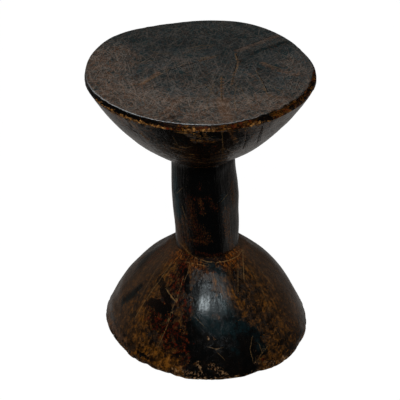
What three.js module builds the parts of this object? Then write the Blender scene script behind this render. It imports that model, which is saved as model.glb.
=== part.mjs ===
// A hand-carved stool, cut from one block of hardwood: a round seat on a bowl-shaped capital, a plain stem,
// and a domed foot. It was shaped by eye with an adze and a knife, so nothing on it is quite round or plumb.
// Millimetres, +Z up. The origin is on the floor, under the middle of the stool's box, and -Y is the front.
import * as THREE from "three";

const { degToRad, euclideanModulo, lerp, radToDeg, smoothstep } =
  THREE.MathUtils;

// Driving dimensions.
const HEIGHT = 340;
const SEAT_RADIUS = 127;
const FOOT_RADIUS = 124;
const STEM_FOOT = { radius: 37.4, height: 111 }; // the stem meets the dome
const STEM_HEAD = { radius: 36.6, height: 234 }; // the stem meets the bowl
const BOWL_FOOT = { radius: 39.4, height: 236.8 }; // a narrow ledge is left round the bowl there
const STEM_BELLY = { radius: 39.2, height: 182 }; // the stem is thickest just above its middle
const RIM_BAND = 6.6; // the upright edge of the seat, from its lower arris to the sitting face
const RIM_ROUND = 2.6; // how far the sitting face rolls over at its edge
const RIM_SLOPE = 0.6; // how far the upright edge leans in
const LIP_WIDTH = 4; // the highest ring of the seat lies this far inside its arris
const SEAT_DISH = 2.4; // the middle of the seat is this much lower than its lip
const SEAT_FLAT_RADIUS = 84;
const FOOT_RING = 17; // the width of the flat ring that the stool stands on
const FOOT_EDGE = 1.2; // the worn lower edge of the foot
const HOLLOW_DEPTH = 7; // the underside is hollowed a little, so that the stool stands on its ring

// Where the curved sides run between their ends. up is the share of the way from the lower end to the
// upper one, and wide is the share of the foot's or the seat's radius.
const DOME_GUIDES = [
  { up: 0.306, wide: 0.861 },
  { up: 0.604, wide: 0.679 },
  { up: 0.851, wide: 0.448 },
];
const BOWL_GUIDES = [
  { up: 0.292, wide: 0.594 },
  { up: 0.665, wide: 0.843 },
];

// How many facets each stretch of the outline has, from the underside to the seat.
const STEPS = { hollow: 4, edge: 2, dome: 13, stem: 9, bowl: 10, band: 2, roll: 3, dish: 5 };
const SEGMENTS = 72; // round the stool

// The middle line of the block wanders to one side as it rises.
const MIDDLE_LINE = [
  { height: 0, shift: -0.4 },
  { height: 45, shift: 0.5 },
  { height: 100, shift: 1.8 },
  { height: 129, shift: 1.3 },
  { height: 170, shift: -0.4 },
  { height: 226, shift: -3 },
  { height: 246, shift: -6.3 },
  { height: 290, shift: -6.5 },
  { height: HEIGHT, shift: -6.1 },
];

// Places where an edge stands in or out from a true circle. Angles are in degrees, counted
// anticlockwise from +X; wide is how far a place spreads, and out is in millimetres.
const SEAT_SWELLS = [
  { at: 105, wide: 15, out: -3.4 },
  { at: 64, wide: 17, out: 4.1 },
  { at: 143, wide: 20, out: 3.8 },
  { at: 22, wide: 16, out: -1.7 },
  { at: -75, wide: 30, out: 1.4 },
];
const FOOT_SWELLS = [
  { at: -143, wide: 30, out: -4.8 },
  { at: -80, wide: 24, out: 2 },
  { at: -45, wide: 24, out: 7 },
  { at: 60, wide: 30, out: -2.2 },
  { at: 130, wide: 24, out: 1.8 },
];
const SEAT_SWELL_HEIGHTS = { none: 235, full: 320 };
const FOOT_SWELL_HEIGHTS = { full: 2, none: 85 };

// Chips broken out of the foot's lower edge, and how tall each one is.
const FOOT_CHIPS = [
  { at: -126, wide: 6, out: -1.6, tall: 9 },
  { at: -109, wide: 5, out: -1.8, tall: 11 },
  { at: -61, wide: 5, out: -2.6, tall: 9 },
  { at: -28, wide: 5, out: -1.2, tall: 7 },
  { at: 38, wide: 5, out: -1.8, tall: 8 },
  { at: 152, wide: 6, out: -2.2, tall: 10 },
];

const point = (radius, height) => new THREE.Vector2(radius, height);

// The points of a curve, a given number of steps apart, without its first one.
const along = (curve, steps) => curve.getSpacedPoints(steps).slice(1);

// A smooth side from one point up to another, by way of its guides.
function side(low, guides, high, radius) {
  const between = guides.map(({ up, wide }) =>
    point(radius * wide, lerp(low.y, high.y, up)),
  );
  return new THREE.SplineCurve([low, ...between, high]);
}

// The outline of one side, from the middle of the underside up to the middle of the seat.
function sideOutline() {
  const underside = point(0, HOLLOW_DEPTH);
  const ringInside = point(FOOT_RADIUS - FOOT_EDGE - FOOT_RING, 0);
  const ringOutside = point(FOOT_RADIUS - FOOT_EDGE, 0);
  const footArris = point(FOOT_RADIUS, FOOT_EDGE);
  const stemFoot = point(STEM_FOOT.radius, STEM_FOOT.height);
  const stemBelly = point(STEM_BELLY.radius, STEM_BELLY.height);
  const stemHead = point(STEM_HEAD.radius, STEM_HEAD.height);
  const bowlFoot = point(BOWL_FOOT.radius, BOWL_FOOT.height);
  const rimArris = point(SEAT_RADIUS, HEIGHT - RIM_BAND);
  const bandHead = point(SEAT_RADIUS - RIM_SLOPE, HEIGHT - RIM_ROUND);
  const lip = point(SEAT_RADIUS - LIP_WIDTH, HEIGHT);
  const seatLevel = HEIGHT - SEAT_DISH;
  const flatEdge = point(SEAT_FLAT_RADIUS, seatLevel);
  const flatMiddle = point(SEAT_FLAT_RADIUS / 2, seatLevel);
  const seatMiddle = point(0, seatLevel);

  const hollowShoulder = point(ringInside.x * 0.6, HOLLOW_DEPTH);
  const hollow = new THREE.QuadraticBezierCurve(
    underside,
    hollowShoulder,
    ringInside,
  );
  const edge = new THREE.QuadraticBezierCurve(
    ringOutside,
    point(FOOT_RADIUS - FOOT_EDGE / 3, 0),
    footArris,
  );
  // The dome rises steeply from the floor and flattens towards the stem.
  const dome = side(footArris, DOME_GUIDES, stemFoot, FOOT_RADIUS);
  const stem = new THREE.SplineCurve([
    stemFoot,
    point(STEM_FOOT.radius + 0.5, lerp(stemFoot.y, stemHead.y, 0.2)),
    stemBelly,
    point(STEM_HEAD.radius + 0.6, lerp(stemFoot.y, stemHead.y, 0.85)),
    stemHead,
  ]);
  // The bowl flares out from the stem and grows steeper towards the rim.
  const bowl = side(bowlFoot, BOWL_GUIDES, rimArris, SEAT_RADIUS);
  const band = new THREE.LineCurve(rimArris, bandHead);
  const roll = new THREE.QuadraticBezierCurve(
    bandHead,
    point(bandHead.x - RIM_SLOPE / 2, HEIGHT),
    lip,
  );
  const dish = new THREE.CubicBezierCurve(
    lip,
    point(SEAT_RADIUS * 0.88, HEIGHT),
    point(SEAT_RADIUS * 0.8, seatLevel),
    flatEdge,
  );
  return [
    underside,
    ...along(hollow, STEPS.hollow),
    ringOutside,
    ...along(edge, STEPS.edge),
    ...along(dome, STEPS.dome),
    ...along(stem, STEPS.stem),
    bowlFoot,
    ...along(bowl, STEPS.bowl),
    ...along(band, STEPS.band),
    ...along(roll, STEPS.roll),
    ...along(dish, STEPS.dish),
    flatMiddle,
    seatMiddle,
  ];
}

// How far the middle line stands to one side at a height.
function sidewaysShift(height) {
  const last = MIDDLE_LINE.length - 1;
  const above = MIDDLE_LINE.findIndex((station) => station.height >= height);
  if (above < 0) return MIDDLE_LINE[last].shift;
  if (above === 0) return MIDDLE_LINE[0].shift;
  const low = MIDDLE_LINE[above - 1];
  const high = MIDDLE_LINE[above];
  const share = smoothstep(height, low.height, high.height);
  return lerp(low.shift, high.shift, share);
}

// How far a list of swells moves the edge at an angle.
function swell(list, angle) {
  let sum = 0;
  for (const { at, wide, out } of list) {
    const away = euclideanModulo(angle - at + 180, 360) - 180;
    sum += out * Math.exp(-((away / wide) ** 2));
  }
  return sum;
}

// The shallow flats that the knife left round the stem, the dome and the bowl.
function knifeFlats(angle, height) {
  const turn = degToRad(angle);
  const aboveDome = smoothstep(height, STEM_FOOT.height - 11, STEM_FOOT.height + 14);
  const aboveNeck = smoothstep(height, STEM_HEAD.height - 14, STEM_HEAD.height + 11);
  const onStem = aboveDome * (1 - aboveNeck);
  const onSides = smoothstep(height, 4, 30) * (1 - onStem);
  const stemFlats = 0.55 * Math.cos(5 * turn + 0.6) + 0.4 * Math.cos(8 * turn + height / 60);
  const sideFlats = 0.4 * Math.cos(9 * turn + height / 22) + 0.3 * Math.cos(14 * turn - height / 31);
  return onStem * stemFlats + onSides * sideFlats;
}

// How far the chips cut back the foot's lower edge.
function chipped(angle, height) {
  let sum = 0;
  for (const chip of FOOT_CHIPS) {
    sum += swell([chip], angle) * (1 - smoothstep(height, 1, chip.tall));
  }
  return sum;
}

// Moves every corner of the turned blank to where the carver left it.
function carveByEye(blank) {
  const corners = blank.attributes.position;
  for (let i = 0; i < corners.count; i++) {
    const height = corners.getZ(i);
    const radius = Math.hypot(corners.getX(i), corners.getY(i));
    const turn = Math.atan2(corners.getY(i), corners.getX(i));
    const angle = radToDeg(turn);
    const nearSeat = smoothstep(height, SEAT_SWELL_HEIGHTS.none, SEAT_SWELL_HEIGHTS.full);
    const nearFoot = 1 - smoothstep(height, FOOT_SWELL_HEIGHTS.full, FOOT_SWELL_HEIGHTS.none);
    const offMiddle = smoothstep(radius, 20, STEM_FOOT.radius - 3);
    const belowRim = 1 - smoothstep(height, HEIGHT - 30, HEIGHT - RIM_BAND);
    let carved = radius;
    carved += nearSeat * (radius / SEAT_RADIUS) * swell(SEAT_SWELLS, angle);
    carved += nearFoot * (radius / FOOT_RADIUS) * swell(FOOT_SWELLS, angle);
    carved += offMiddle * belowRim * knifeFlats(angle, height);
    if (radius > FOOT_RADIUS - FOOT_RING) carved += chipped(angle, height);
    const x = carved * Math.cos(turn) + sidewaysShift(height);
    corners.setXYZ(i, x, carved * Math.sin(turn), height);
  }
  blank.computeVertexNormals();
  return blank;
}

// Stands the stool on the floor, with the middle of its box over the origin.
function standOverOrigin(geometry) {
  geometry.computeBoundingBox();
  const middle = geometry.boundingBox.getCenter(new THREE.Vector3());
  return geometry.translate(-middle.x, -middle.y, 0);
}

// The blank is turned about the lathe's Y axis, so it is set upright before it is carved.
const blank = new THREE.LatheGeometry(sideOutline(), SEGMENTS).rotateX(Math.PI / 2);
const darkOiledWood = new THREE.MeshStandardMaterial({
  color: new THREE.Color(0.1, 0.06, 0.04),
  roughness: 0.5,
  metalness: 0,
});

const carvedBlock = new THREE.Mesh(standOverOrigin(carveByEye(blank)), darkOiledWood);
carvedBlock.name = "stool";

const stool = new THREE.Group();
stool.add(carvedBlock);

export default stool;
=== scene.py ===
# %% [markdown]
# # A carved stool, cut from one block
# This lesson dresses a hand-carved wooden stool: a round seat on a bowl, a plain stem, and a domed foot.
# It is one piece of very dark wood, oiled, smoked and sat on for years. The frame that is loaded here gives
# the true size and form, and everything below adds what a hand and an eye would find on the real one:
# knife flats, chips, drying cracks, scratches and a patina that is worn through to brown.

# %% Load the frame
import math
import random
from types import SimpleNamespace

import bpy
import numpy as np
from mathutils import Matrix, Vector, noise
from mathutils.bvhtree import BVHTree
from mathutils.kdtree import KDTree


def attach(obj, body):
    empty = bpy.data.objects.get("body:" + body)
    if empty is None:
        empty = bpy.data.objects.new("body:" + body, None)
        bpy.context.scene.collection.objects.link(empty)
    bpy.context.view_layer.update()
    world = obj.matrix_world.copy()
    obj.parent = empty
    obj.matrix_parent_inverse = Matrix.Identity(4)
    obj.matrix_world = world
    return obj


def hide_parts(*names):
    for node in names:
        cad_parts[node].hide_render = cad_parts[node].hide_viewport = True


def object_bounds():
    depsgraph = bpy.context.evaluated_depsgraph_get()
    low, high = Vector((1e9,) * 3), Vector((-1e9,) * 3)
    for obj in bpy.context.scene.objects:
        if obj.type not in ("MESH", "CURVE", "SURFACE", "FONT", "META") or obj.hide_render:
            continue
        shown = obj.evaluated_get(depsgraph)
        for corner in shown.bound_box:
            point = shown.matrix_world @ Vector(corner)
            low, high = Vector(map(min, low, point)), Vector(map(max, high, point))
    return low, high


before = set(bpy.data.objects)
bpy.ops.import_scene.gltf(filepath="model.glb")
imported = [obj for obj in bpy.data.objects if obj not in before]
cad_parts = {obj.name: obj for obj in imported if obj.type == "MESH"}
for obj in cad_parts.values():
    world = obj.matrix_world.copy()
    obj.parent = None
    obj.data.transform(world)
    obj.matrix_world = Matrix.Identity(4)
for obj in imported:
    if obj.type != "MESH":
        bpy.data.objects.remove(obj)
cad_box = [[float(c) for c in corner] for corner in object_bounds()]
MM = 0.001
print("frame box in mm:", [[round(c / MM, 1) for c in corner] for corner in cad_box])

# %% [markdown]
# ## The camera
# The photograph was taken from standing height, looking down on the seat. A long lens from far away keeps
# the sides of the stem parallel. Its place was found from two circles: the rim of the seat and the foot.

# %% Place the camera
PHOTO_SIZE = 400  # pixels, both ways
CAMERA_PLACE = Vector((-1.8 * MM, -1258.3 * MM, 980.4 * MM))
CAMERA_DIP = math.radians(32.83)  # below the horizon
LENS = 115.0
SENSOR = 36.0

bpy.ops.object.camera_add(location=CAMERA_PLACE, rotation=(math.pi / 2 - CAMERA_DIP, 0, 0))
camera = bpy.context.object
camera.data.lens = LENS
camera.data.sensor_width = SENSOR
camera.data.clip_start = 0.01
bpy.context.scene.camera = camera


def line_of_sight(px, py):
    """The direction in which the camera sees a pixel of the photograph."""
    across = (px - PHOTO_SIZE / 2) / PHOTO_SIZE * SENSOR / LENS
    up = (PHOTO_SIZE / 2 - py) / PHOTO_SIZE * SENSOR / LENS
    return (camera.matrix_world.to_3x3() @ Vector((across, up, -1))).normalized()


bpy.context.view_layer.update()
print("camera looks along", [round(c, 3) for c in line_of_sight(200, 200)])

# %% [markdown]
# ## A short way to wire nodes
# Wood, walls and paper are all made of nodes, and wiring them one by one hides what they do. So this bench
# adds them in one line each, and lets what they give be added and multiplied like plain numbers.


# %% The bench
class Value:
    """What a node gives. Arithmetic on it adds the nodes that work it out."""

    def __init__(self, bench, socket):
        self.bench = bench
        self.socket = socket

    def __add__(self, other):
        return self.bench.math("ADD", self, other)

    def __sub__(self, other):
        return self.bench.math("SUBTRACT", self, other)

    def __rsub__(self, other):
        return self.bench.math("SUBTRACT", other, self)

    def __mul__(self, other):
        return self.bench.math("MULTIPLY", self, other)

    def __truediv__(self, other):
        return self.bench.math("DIVIDE", self, other)

    def __abs__(self):
        return self.bench.math("ABSOLUTE", self)


class Bench:
    """A node tree, with short ways to add what a finish needs. Inputs take a Value or a plain number."""

    def __init__(self, tree):
        self.tree = tree

    def put(self, socket, value):
        """Links a value to an input, or sets the input to a plain one."""
        if isinstance(value, Value):
            self.tree.links.new(value.socket, socket)
        else:
            socket.default_value = value

    def node(self, kind, inputs=(), **settings):
        """Adds a node and says what it gives. Inputs and results go by name or number."""
        made = self.tree.nodes.new(kind)
        for key, value in settings.items():
            setattr(made, key, value)
        for key, value in dict(inputs).items():
            self.put(made.inputs[key], value)
        values = [Value(self, socket) for socket in made.outputs]
        return dict(enumerate(values)) | {value.socket.name: value for value in values}

    def math(self, operation, *values, clamp=False):
        """One step of arithmetic."""
        return self.node("ShaderNodeMath", enumerate(values), operation=operation, use_clamp=clamp)[0]

    def larger(self, first, second):
        """The larger of two values."""
        return self.math("MAXIMUM", first, second)

    def step(self, value, low, high):
        """A soft step: 0 where the value is below low and 1 where it is above high."""
        inputs = {"Value": value, "From Min": low, "From Max": high}
        return self.node("ShaderNodeMapRange", inputs, interpolation_type="SMOOTHSTEP")[0]

    def spread(self, value, low, high):
        """A value from 0 to 1, spread evenly between two others."""
        return self.node("ShaderNodeMapRange", {"Value": value, "To Min": low, "To Max": high})[0]

    def mix(self, share, first, second, blend="MIX"):
        """Two colours, mixed by a share."""
        inputs = {0: share, 6: first, 7: second}
        return self.node("ShaderNodeMix", inputs, data_type="RGBA", blend_type=blend)[2]

    def stretch(self, vector, longer=(1, 1, 1), turn=(0, 0, 0), shift=(0, 0, 0)):
        """Coordinates that make a pattern so many times longer along each of its own axes."""
        inputs = {"Vector": vector, "Location": shift, "Rotation": turn, "Scale": longer}
        return self.node("ShaderNodeMapping", inputs, vector_type="TEXTURE")[0]

    def noise(self, vector, scale, detail=3.0, roughness=0.5, warp=0.0):
        """Cloudy noise from 0 to 1."""
        inputs = {"Vector": vector, "Scale": scale, "Detail": detail, "Roughness": roughness}
        return self.node("ShaderNodeTexNoise", inputs | {"Distortion": warp})["Fac"]

    def field(self, name, output="Fac"):
        """One of the mesh's own fields."""
        return self.node("ShaderNodeAttribute", attribute_name=name, attribute_type="GEOMETRY")[output]

    def axes(self, vector):
        """The three numbers of a vector."""
        return self.node("ShaderNodeSeparateXYZ", {0: vector})

    def group(self, tree, **inputs):
        """A node group, set by its inputs."""
        return self.node("ShaderNodeGroup", inputs, node_tree=tree)


def new_group(name, inputs, outputs):
    """An empty node group: its bench, what it is given, and the inputs that take its results."""
    tree = bpy.data.node_groups.new(name, "ShaderNodeTree")
    bench = Bench(tree)
    kinds = {"value": "NodeSocketFloat", "vector": "NodeSocketVector"}
    for label, kind in inputs.items():
        tree.interface.new_socket(label, in_out="INPUT", socket_type=kinds[kind])
    for label in outputs:
        tree.interface.new_socket(label, in_out="OUTPUT", socket_type=kinds["value"])
    print(name, "takes", list(inputs), "and gives", outputs)
    return bench, bench.node("NodeGroupInput"), tree.nodes.new("NodeGroupOutput").inputs


print("the bench can", [way for way in vars(Bench) if way[0] != "_"])

# %% [markdown]
# ## The studio
# The stool stands on white, under a soft light that hangs a little to the front, with pale walls at the sides
# and behind. Dark gloss shows its surroundings more than its own colour, so the walls matter as much as the
# lamps: they give the grey sheen along both outlines, and the dark in front keeps the stem black.

# %% Lay the floor
WHITE = (1.0, 1.0, 1.0, 1.0)
PAPER_SHADE = (0.02, 0.02, 0.02, 1.0)
FLOOR_SIZE = 12

bpy.ops.mesh.primitive_grid_add(x_subdivisions=8, y_subdivisions=8, size=FLOOR_SIZE)
floor = bpy.context.object
floor.name = "floor"
floor.visible_glossy = False
floor.visible_diffuse = False

paper = bpy.data.materials.new("white_paper")
paper.use_nodes = True
paper.node_tree.nodes.clear()
bench = Bench(paper.node_tree)
paper_glow = bench.node("ShaderNodeEmission", {"Color": WHITE, "Strength": 1.0})[0]
paper_matt = bench.node("ShaderNodeBsdfDiffuse", {"Color": PAPER_SHADE})[0]
both = bench.node("ShaderNodeAddShader", {0: paper_glow, 1: paper_matt})[0]
bench.node("ShaderNodeOutputMaterial", {"Surface": both})
floor.data.materials.append(paper)
print("the floor is", [round(side, 1) for side in floor.dimensions[:2]], "m across")

# %% Paint the walls of the studio
ROOM_LIGHT = 0.014  # everywhere
TABLE_LIGHT = 0.34  # the pale table that the stool stands on, at its sides and behind
BACK_LIGHT = 0.15  # the upper part of the back wall
LEAN = 0.15  # how much further round the table reaches on the right
WALL_TINT = (1.0, 0.95, 0.90, 1.0)

world = bpy.data.worlds.new("studio")
bpy.context.scene.world = world
world.use_nodes = True
world.node_tree.nodes.clear()
bench = Bench(world.node_tree)
toward = bench.axes(bench.node("ShaderNodeTexCoord")["Generated"])
across, back, up = toward["X"], toward["Y"], toward["Z"]
# At the height of the stem the table reaches further round on the right than on the left.
not_in_front = bench.step(back + across * (bench.step(up, -0.72, -0.52) * LEAN), -0.35, 0.2)
table = bench.step(up, 0.05, -0.8) * TABLE_LIGHT * not_in_front * bench.step(up, -0.94, -0.79)
# The back wall is pale between its dado and the ceiling.
wall = bench.step(back, 0.45, 0.9) * BACK_LIGHT * bench.step(up, 0.36, 0.56) * bench.step(up, 0.80, 0.62)
walls = bench.node("ShaderNodeBackground", {"Color": WALL_TINT, "Strength": table + wall + ROOM_LIGHT})[0]
white_ground = bench.node("ShaderNodeBackground", {"Color": WHITE})[0]
seen_directly = bench.node("ShaderNodeLightPath")["Is Camera Ray"]
choose = bench.node("ShaderNodeMixShader", {0: seen_directly, 1: walls, 2: white_ground})[0]
bench.node("ShaderNodeOutputWorld", {"Surface": choose})
print("the studio has", len(world.node_tree.nodes), "nodes")

# %% Hang the lamps
STOOL_MIDDLE = Vector((0, 0, 170 * MM))


def hang_softbox(name, azimuth, elevation, distance, size, watts, tint):
    """A square lamp that faces the stool. Azimuth 0 is behind it, and 90 is on its right."""
    turn = math.radians(azimuth)
    rise = math.radians(elevation)
    toward = Vector((math.sin(turn) * math.cos(rise), math.cos(turn) * math.cos(rise), math.sin(rise)))
    bpy.ops.object.light_add(type="AREA", location=STOOL_MIDDLE + toward * distance)
    lamp = bpy.context.object
    lamp.name = name
    lamp.rotation_euler = toward.to_track_quat("Z", "Y").to_euler()
    lamp.data.size = size
    lamp.data.energy = watts
    lamp.data.color = tint
    return lamp


hang_softbox("key_lamp", 178.6, 47, 1.5, 0.31, 9.0, (0.85, 0.96, 1.0))
tail_lamp = hang_softbox("tail_lamp", 163, 40, 1.6, 0.45, 0.9, (0.72, 0.94, 1.0))
tail_lamp.visible_diffuse = False
# Large soft lights that fill the colours without a reflection of their own.
fills = [
    hang_softbox("high_fill", 176, 55, 2.0, 1.4, 6.0, (1.0, 0.99, 0.98)),
    hang_softbox("low_fill", 178, 4, 2.0, 0.9, 4.5, (1.0, 0.98, 0.95)),
    hang_softbox("left_fill", -102, 30, 1.9, 0.9, 5.5, (1.0, 0.98, 0.96)),
    hang_softbox("right_fill", 104, 22, 1.9, 0.9, 2.0, (1.0, 0.98, 0.96)),
]
for lamp in fills:
    lamp.visible_glossy = False
view = bpy.context.scene.view_settings
view.view_transform = "Standard"
view.look = "None"
view.exposure = 0
view.gamma = 1

# %% [markdown]
# ## The blank
# A carver squares up a log, draws a circle on its end and works down to a round blank. In Blender the same
# blank is quickest as an outline that is spun about the middle line. The outline is drawn once, from the
# middle of the underside to the middle of the seat. Each stretch gets as many facets round it as its width
# needs, and bridges join one stretch to the next, so that the thin stem doesn't waste what the rim needs.

# %% The driving sizes
HEIGHT = cad_box[1][2]
SEAT_RADIUS = 127 * MM
FOOT_RADIUS = 124 * MM
STEM_FOOT = (37.4 * MM, 111 * MM)  # radius and height where the stem meets the dome
STEM_HEAD = (36.6 * MM, 234 * MM)  # where it meets the bowl
STEM_BELLY = (39.2 * MM, 182 * MM)
BOWL_FOOT = (39.4 * MM, 236.8 * MM)
RIM_BAND = 6.6 * MM
RIM_ROUND = 2.6 * MM
RIM_SLOPE = 0.6 * MM
LIP_WIDTH = 4 * MM
SEAT_DISH = 2.4 * MM
SEAT_FLAT = 84 * MM
FOOT_RING = 17 * MM
FOOT_EDGE = 1.2 * MM
HOLLOW_DEPTH = 7 * MM
DOME_GUIDES = [(0.306, 0.861), (0.604, 0.679), (0.851, 0.448)]  # share of the way up, share of the radius
BOWL_GUIDES = [(0.292, 0.594), (0.665, 0.843)]
RIM_ARRIS = (SEAT_RADIUS, HEIGHT - RIM_BAND)
print("height", round(HEIGHT / MM, 1), "mm, rim arris at", [round(c / MM, 1) for c in RIM_ARRIS])


# %% Curves of the outline
def evenly(points, spacing):
    """The same line with its points an even distance apart, and both its ends kept."""
    points = np.array(points)
    steps = np.linalg.norm(np.diff(points, axis=0), axis=1)
    along = np.concatenate([[0], np.cumsum(steps)])
    count = max(1, round(along[-1] / spacing))
    at = np.linspace(0, along[-1], count + 1)
    return [(float(np.interp(a, along, points[:, 0])), float(np.interp(a, along, points[:, 1]))) for a in at]


def smooth_through(points, spacing):
    """A smooth line through its guide points."""
    points = [np.array(p) for p in points]
    line = []
    for i in range(len(points) - 1):
        start, end = points[i], points[i + 1]
        leave = (end - points[max(i - 1, 0)]) / 2
        arrive = (points[min(i + 2, len(points) - 1)] - start) / 2
        for t in np.linspace(0, 1, 40, endpoint=False):
            cubic = (2 * start - 2 * end + leave + arrive) * t**3
            square = (3 * end - 3 * start - 2 * leave - arrive) * t**2
            line.append(cubic + square + leave * t + start)
    line.append(points[-1])
    return evenly(line, spacing)


def bent(corners, spacing):
    """A Bezier arc that leans towards its inner corner points."""
    line = []
    for t in np.linspace(0, 1, 60):
        points = [np.array(c) for c in corners]
        while len(points) > 1:
            points = [a * (1 - t) + b * t for a, b in zip(points, points[1:])]
        line.append(points[0])
    return evenly(line, spacing)


def side(low, guides, high, radius, spacing):
    """A curved side from one point up to another, by way of its guides."""
    between = [(radius * wide, low[1] + (high[1] - low[1]) * up) for up, wide in guides]
    return smooth_through([low, *between, high], spacing)


# %% Draw the outline
FINE = 1.85 * MM  # how far apart the points of the outline stand
CRISP = 0.8 * MM  # and where it turns sharply

ring_inside = (FOOT_RADIUS - FOOT_EDGE - FOOT_RING, 0.0)
ring_outside = (FOOT_RADIUS - FOOT_EDGE, 0.0)
foot_arris = (FOOT_RADIUS, FOOT_EDGE)
band_head = (SEAT_RADIUS - RIM_SLOPE, HEIGHT - RIM_ROUND)
lip = (SEAT_RADIUS - LIP_WIDTH, HEIGHT)
seat_level = HEIGHT - SEAT_DISH
flat_edge = (SEAT_FLAT, seat_level)

hollow = bent([(0, HOLLOW_DEPTH), (ring_inside[0] * 0.6, HOLLOW_DEPTH), ring_inside], 8 * MM)
foot_ring = evenly([ring_inside, ring_outside], 4 * MM)
foot_corner = bent([ring_outside, (FOOT_RADIUS - FOOT_EDGE / 3, 0), foot_arris], CRISP)
dome = side(foot_arris, DOME_GUIDES, STEM_FOOT, FOOT_RADIUS, FINE)
stem_low = (STEM_FOOT[0] + 0.5 * MM, STEM_FOOT[1] + (STEM_HEAD[1] - STEM_FOOT[1]) * 0.2)
stem_high = (STEM_HEAD[0] + 0.6 * MM, STEM_FOOT[1] + (STEM_HEAD[1] - STEM_FOOT[1]) * 0.85)
stem = smooth_through([STEM_FOOT, stem_low, STEM_BELLY, stem_high, STEM_HEAD], FINE)
ledge = evenly([STEM_HEAD, BOWL_FOOT], CRISP)
bowl = side(BOWL_FOOT, BOWL_GUIDES, RIM_ARRIS, SEAT_RADIUS, FINE)
band = evenly([RIM_ARRIS, band_head], CRISP)
roll = bent([band_head, (band_head[0] - RIM_SLOPE / 2, HEIGHT), lip], CRISP)
dish = bent([lip, (SEAT_RADIUS * 0.88, HEIGHT), (SEAT_RADIUS * 0.8, seat_level), flat_edge], FINE * 1.2)
seat_flat = evenly([flat_edge, (0, seat_level)], FINE * 1.4)
outline = hollow + foot_ring[1:] + foot_corner[1:] + dome[1:] + stem[1:] + ledge[1:] + bowl[1:] + band[1:]
outline += roll[1:] + dish[1:] + seat_flat[1:]
print(len(outline), "points in the outline")


# %% Spin the outline
def deselect_all():
    """Leaves nothing selected, because an operator acts on all that is."""
    if bpy.context.object and bpy.context.object.mode != "OBJECT":
        bpy.ops.object.mode_set(mode="OBJECT")
    bpy.ops.object.select_all(action="DESELECT")


def turn_on_lathe(name, line, facets):
    """Spins a line of (radius, height) points once round the middle."""
    deselect_all()
    bpy.ops.mesh.primitive_plane_add(size=MM)
    shell = bpy.context.object
    shell.name = name
    bpy.ops.object.mode_set(mode="EDIT")
    bpy.ops.mesh.merge(type="CENTER")
    bpy.ops.transform.translate(value=(line[0][0], 0, line[0][1]))
    for here, there in zip(line, line[1:]):
        step = (there[0] - here[0], 0, there[1] - here[1])
        bpy.ops.mesh.extrude_region_move(TRANSFORM_OT_translate={"value": step})
    bpy.ops.mesh.select_all(action="SELECT")
    bpy.ops.mesh.spin(steps=facets, angle=2 * math.pi, center=(0, 0, 0), axis=(0, 0, 1))
    bpy.ops.mesh.select_all(action="SELECT")
    bpy.ops.mesh.remove_doubles(threshold=0.02 * MM)
    bpy.ops.object.mode_set(mode="OBJECT")
    return shell


# Facets round the stool, for a radius of at least this much.
FACETS = [(88 * MM, 380), (44 * MM, 240), (24 * MM, 150), (9 * MM, 64), (0, 24)]


def facets_for(point):
    """How many facets go round the stool at a point of its outline."""
    if point in hollow:
        return 96
    return next(count for radius, count in FACETS if point[0] >= radius)


stretches = []
for point in outline:
    if stretches and facets_for(point) == stretches[-1][0]:
        stretches[-1][1].append(point)
    else:
        stretches.append((facets_for(point), [point]))
shells = [turn_on_lathe(f"stretch_{i}", line, facets) for i, (facets, line) in enumerate(stretches)]
print(len(shells), "stretches, with", [facets for facets, line in stretches], "facets round")


# %% Join and bridge the stretches
def ring_at(points, radius_and_height):
    """Which of the points lie on one ring of the blank."""
    radius, height = radius_and_height
    off = np.hypot(np.hypot(points[:, 0], points[:, 1]) - radius, points[:, 2] - height)
    return off < 0.05 * MM


def points_of(mesh, what="co"):
    """The corners of a mesh, or their normals, as an array."""
    values = np.empty(len(mesh.vertices) * 3)
    mesh.vertices.foreach_get(what, values)
    return values.reshape(-1, 3)


deselect_all()
for shell in shells:
    shell.select_set(True)
stool = shells[0]
bpy.context.view_layer.objects.active = stool
bpy.ops.object.join()
stool.name = "carved_stool"
for (_, below), (_, above) in zip(stretches, stretches[1:]):
    corners = points_of(stool.data)
    chosen = ring_at(corners, below[-1]) | ring_at(corners, above[0])
    bpy.ops.object.mode_set(mode="EDIT")
    bpy.ops.mesh.select_mode(type="VERT")
    bpy.ops.mesh.select_all(action="DESELECT")
    bpy.ops.object.mode_set(mode="OBJECT")
    stool.data.vertices.foreach_set("select", chosen)
    bpy.ops.object.mode_set(mode="EDIT")
    bpy.ops.mesh.bridge_edge_loops()
    bpy.ops.object.mode_set(mode="OBJECT")
bpy.ops.object.mode_set(mode="EDIT")
bpy.ops.mesh.select_all(action="SELECT")
bpy.ops.mesh.normals_make_consistent(inside=False)
bpy.ops.object.mode_set(mode="OBJECT")
print("blank:", len(stool.data.vertices), "corners,", len(stool.data.polygons), "faces")

# %% [markdown]
# ## Carving by eye
# No carver's circle is true. The rim and the foot swell and shrink by a few millimetres, the middle line
# wanders to one side, and the knife leaves long shallow flats. These are moves of the blank's corners, worked
# out from a few swells with a place, a width and a depth. A mesh sculpted by hand would do as well, but the
# swells are easy to read and to change, and they are the very ones that the solid frame was made with.

# %% Swells, the wandering middle line and the knife's flats
# How far the middle line stands to one side, at some heights.
MIDDLE_LINE = {0: -0.4, 45: 0.5, 100: 1.8, 129: 1.3, 170: -0.4, 226: -3, 246: -6.3, 290: -6.5, 340: -6.1}
# Angle from +X, width and depth of each swell.
SEAT_SWELLS = [(105, 15, -3.4), (64, 17, 4.1), (143, 20, 3.8), (22, 16, -1.7), (-75, 30, 1.4)]
FOOT_SWELLS = [(-143, 30, -4.8), (-80, 24, 2.0), (-45, 24, 7.0), (60, 30, -2.2), (130, 24, 1.8)]
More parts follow.
